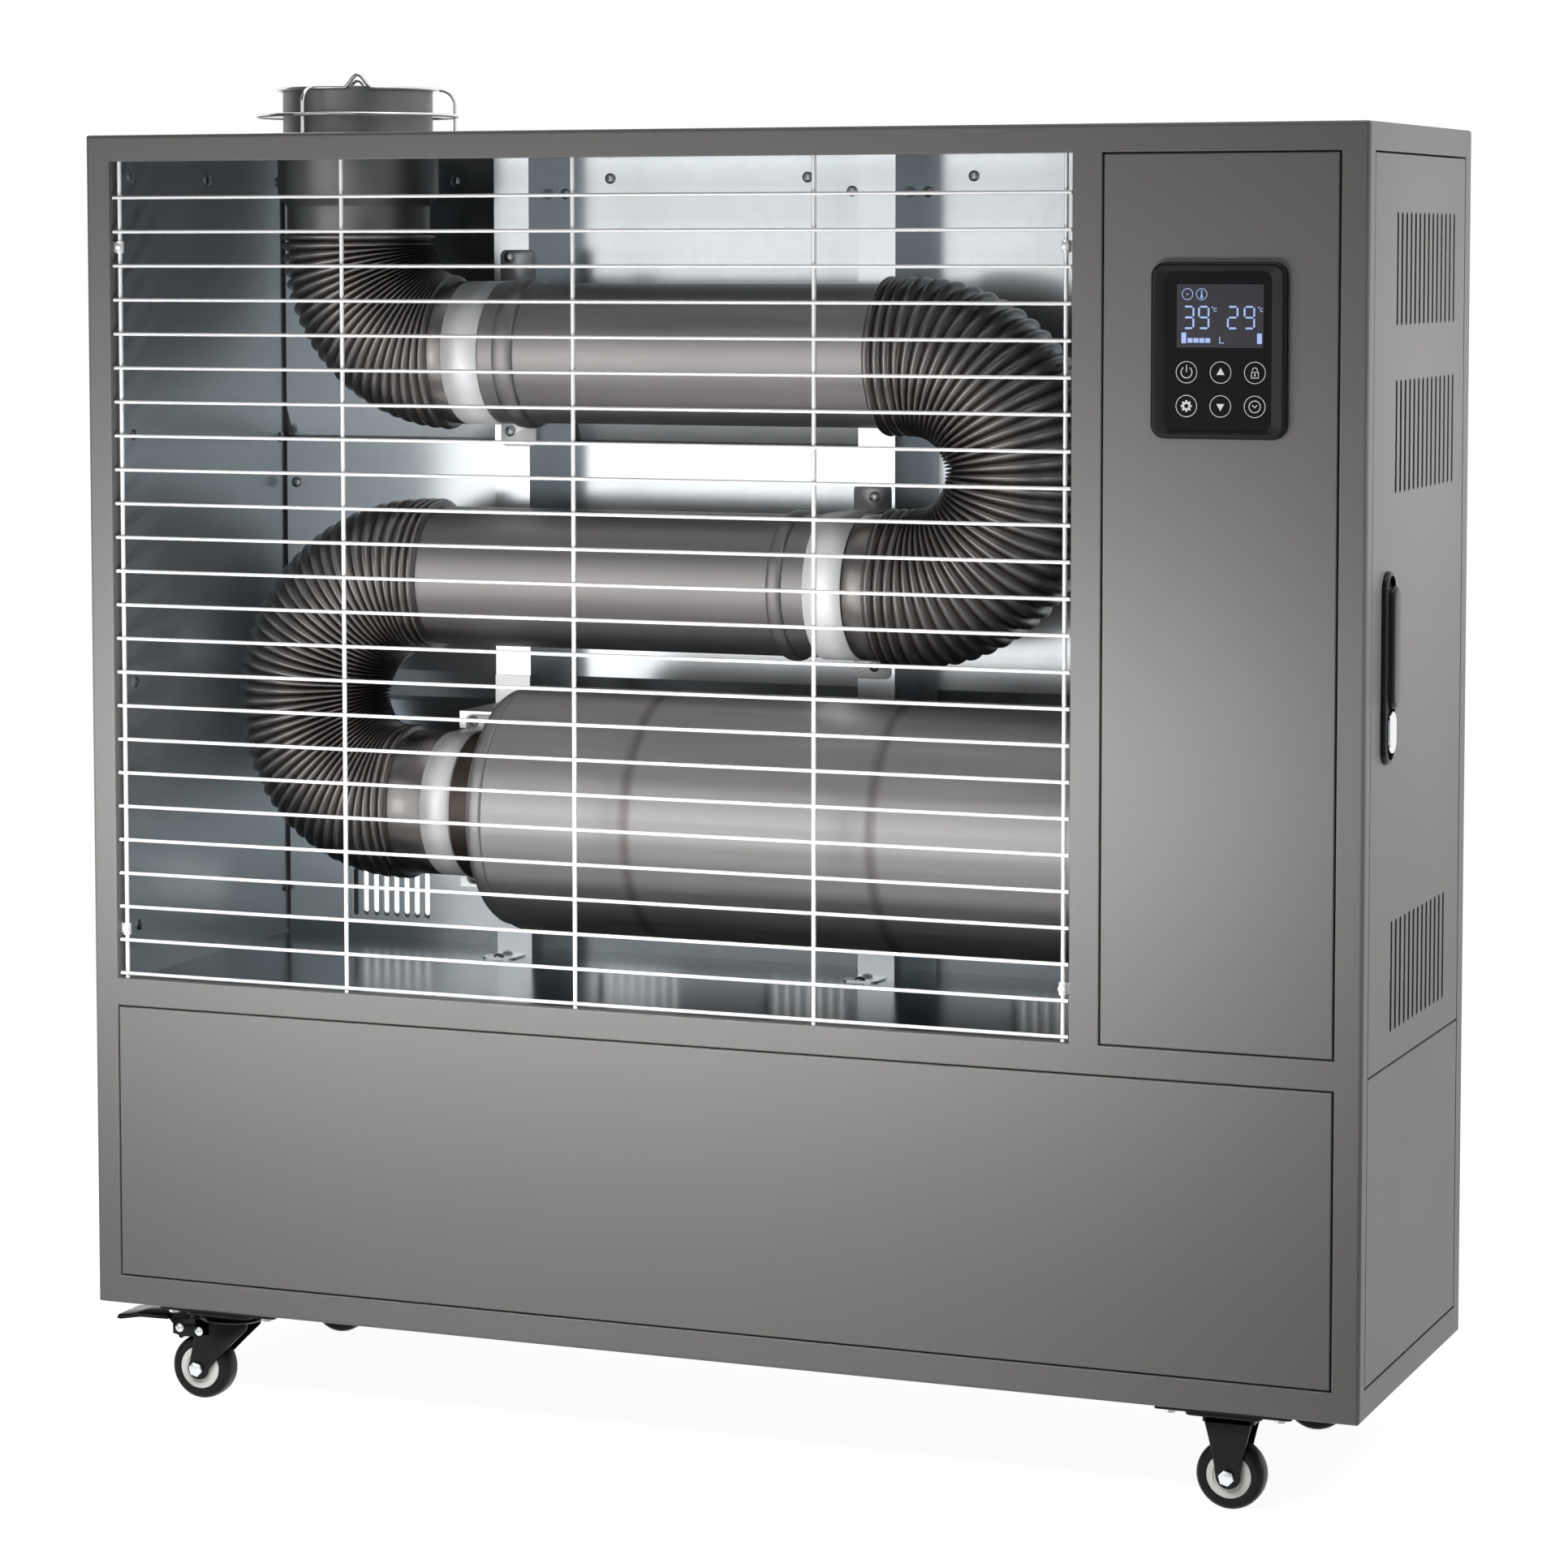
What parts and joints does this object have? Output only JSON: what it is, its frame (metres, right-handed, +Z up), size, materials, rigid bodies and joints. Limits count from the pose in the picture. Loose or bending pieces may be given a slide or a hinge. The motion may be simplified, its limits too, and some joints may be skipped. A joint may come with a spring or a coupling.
{
  "type": "diesel infrared heater",
  "caption": "Wheeled cabinet heater with a burner drum, flue pipes and corrugated bends behind a wire grille, a control column, a louvred side door and a top flue.",
  "frame": {"origin": "middle of the overall box at floor level, under the castor wheels", "axes": "+Z up, -Y towards the grille, +X towards the side door"},
  "size_m": [1.0084, 0.319, 1.0251],
  "materials": {
    "cabinet_paint": "satin powder coat",
    "panel_paint": "satin powder coat",
    "galvanised": "bright galvanised sheet",
    "flue_steel": "satin heat-tinted steel",
    "bend_steel": "satin dark steel, corrugated",
    "strap_steel": "bright zinc plate",
    "chrome_wire": "polished chrome",
    "black_plastic": "satin black",
    "touch_film": "gloss black film",
    "board": "circuit board",
    "cast_housing": "cast, matt",
    "brass": "turned",
    "tank_paint": "black paint",
    "copper": "copper tube",
    "fan_metal": "pressed sheet",
    "castor_paint": "gloss black",
    "castor_tyre": "black tyre on a grey hub"
  },
  "bodies": {
    "cabinet": {"front_frame": "cabinet_paint", "right_side_frame": "cabinet_paint", "left_side_panel": "cabinet_paint", "top_cover": "cabinet_paint", "rear_cover": "cabinet_paint", "base_pan": "cabinet_paint", "lower_front_panel": "panel_paint", "lower_side_panel": "panel_paint", "control_column_panel": "panel_paint", "left_liner": "galvanised", "ceiling_liner": "galvanised", "floor_reflector": "galvanised", "rear_reflector_upper": "galvanised", "rear_reflector_middle": "galvanised", "rear_reflector_lower": "galvanised", "partition": "galvanised", "posts": "galvanised", "combustion_drum": "flue_steel", "neck_bracket": "strap_steel", "neck_clamp": "strap_steel", "left_bend": "bend_steel", "middle_pipe": "flue_steel", "right_bend": "bend_steel", "upper_pipe": "flue_steel", "flue_elbow": "bend_steel", "flue_collar": "flue_steel", "pipe_clamps": "strap_steel", "front_grille": "chrome_wire", "flue_guard": "chrome_wire", "control_bezel": "black_plastic", "touch_panel": "touch_film", "circuit_boards": "board", "burner_housing": "cast_housing", "burner_tube": "strap_steel", "nozzle_assembly": "brass", "burner_motor": "cast_housing", "fuel_pump": "cast_housing", "ignition_transformer": "black_plastic", "fuel_tank": "tank_paint", "fuel_filter": "strap_steel", "fuel_line": "copper", "cord_gland": "black_plastic", "door_hinges": "strap_steel", "castor_plates": "strap_steel", "fixed_forks": "castor_paint", "panel_screws": "strap_steel"},
    "door": {"side_door": "panel_paint", "handle_base": "black_plastic"},
    "spindle": {"lock_spindle": "strap_steel"},
    "lever": {"handle_lever": "black_plastic"},
    "button": {"lock_button": "chrome_wire"},
    "blower": {"blower_wheel": "fan_metal"},
    "cap": {"fuel_cap": "black_plastic"},
    "front_swivel": {"front_swivel_fork": "castor_paint"},
    "rear_swivel": {"rear_swivel_fork": "castor_paint"},
    "front_left_wheel_body": {"front_left_wheel": "castor_tyre"},
    "rear_left_wheel_body": {"rear_left_wheel": "castor_tyre"},
    "front_right_wheel_body": {"front_right_wheel": "castor_tyre"},
    "rear_right_wheel_body": {"rear_right_wheel": "castor_tyre"},
    "pedal": {"brake_pedal": "castor_paint"}
  },
  "joints": [
    {"name": "door_hinge", "type": "hinge", "parent": "cabinet", "child": "door", "pos_m": [0.49225, 0.121, 0.636], "axis": [0, 0, 1], "range_deg": [0, 100]},
    {"name": "lock_turn", "type": "hinge", "parent": "door", "child": "spindle", "pos_m": [0.49575, -0.0985, 0.652], "axis": [1, 0, 0], "range_deg": [0, 90]},
    {"name": "lever_swing", "type": "hinge", "parent": "spindle", "child": "lever", "pos_m": [0.50195, -0.0985, 0.652], "axis": [0, -1, 0], "range_deg": [0, 35]},
    {"name": "button_press", "type": "slide", "parent": "door", "child": "button", "axis": [-1, 0, 0], "range_m": [0, 0.002], "stiffness_N_per_m": 400},
    {"name": "blower_spin", "type": "hinge", "parent": "cabinet", "child": "blower", "pos_m": [0.37575, -0.0255, 0.461], "axis": [0, 1, 0], "continuous": true},
    {"name": "cap_turn", "type": "hinge", "parent": "cabinet", "child": "cap", "pos_m": [0.44075, -0.0845, 0.346], "axis": [0, 0, 1], "range_deg": [0, 90]},
    {"name": "front_castor_swivel", "type": "hinge", "parent": "cabinet", "child": "front_swivel", "pos_m": [-0.40425, -0.1205, 0.065], "axis": [0, 0, 1], "continuous": true},
    {"name": "rear_castor_swivel", "type": "hinge", "parent": "cabinet", "child": "rear_swivel", "pos_m": [-0.40425, 0.1115, 0.065], "axis": [0, 0, 1], "continuous": true},
    {"name": "front_left_roll", "type": "hinge", "parent": "front_swivel", "child": "front_left_wheel_body", "pos_m": [-0.42925, -0.1205, 0.025], "axis": [0, 1, 0], "continuous": true},
    {"name": "rear_left_roll", "type": "hinge", "parent": "rear_swivel", "child": "rear_left_wheel_body", "pos_m": [-0.42925, 0.1115, 0.025], "axis": [0, 1, 0], "continuous": true},
    {"name": "front_right_roll", "type": "hinge", "parent": "cabinet", "child": "front_right_wheel_body", "pos_m": [0.39575, -0.1205, 0.025], "axis": [0, 1, 0], "continuous": true},
    {"name": "rear_right_roll", "type": "hinge", "parent": "cabinet", "child": "rear_right_wheel_body", "pos_m": [0.39575, 0.1115, 0.025], "axis": [0, 1, 0], "continuous": true},
    {"name": "brake_press", "type": "hinge", "parent": "front_swivel", "child": "pedal", "pos_m": [-0.44425, -0.1205, 0.056], "axis": [0, -1, 0], "range_deg": [0, 15]}
  ]
}
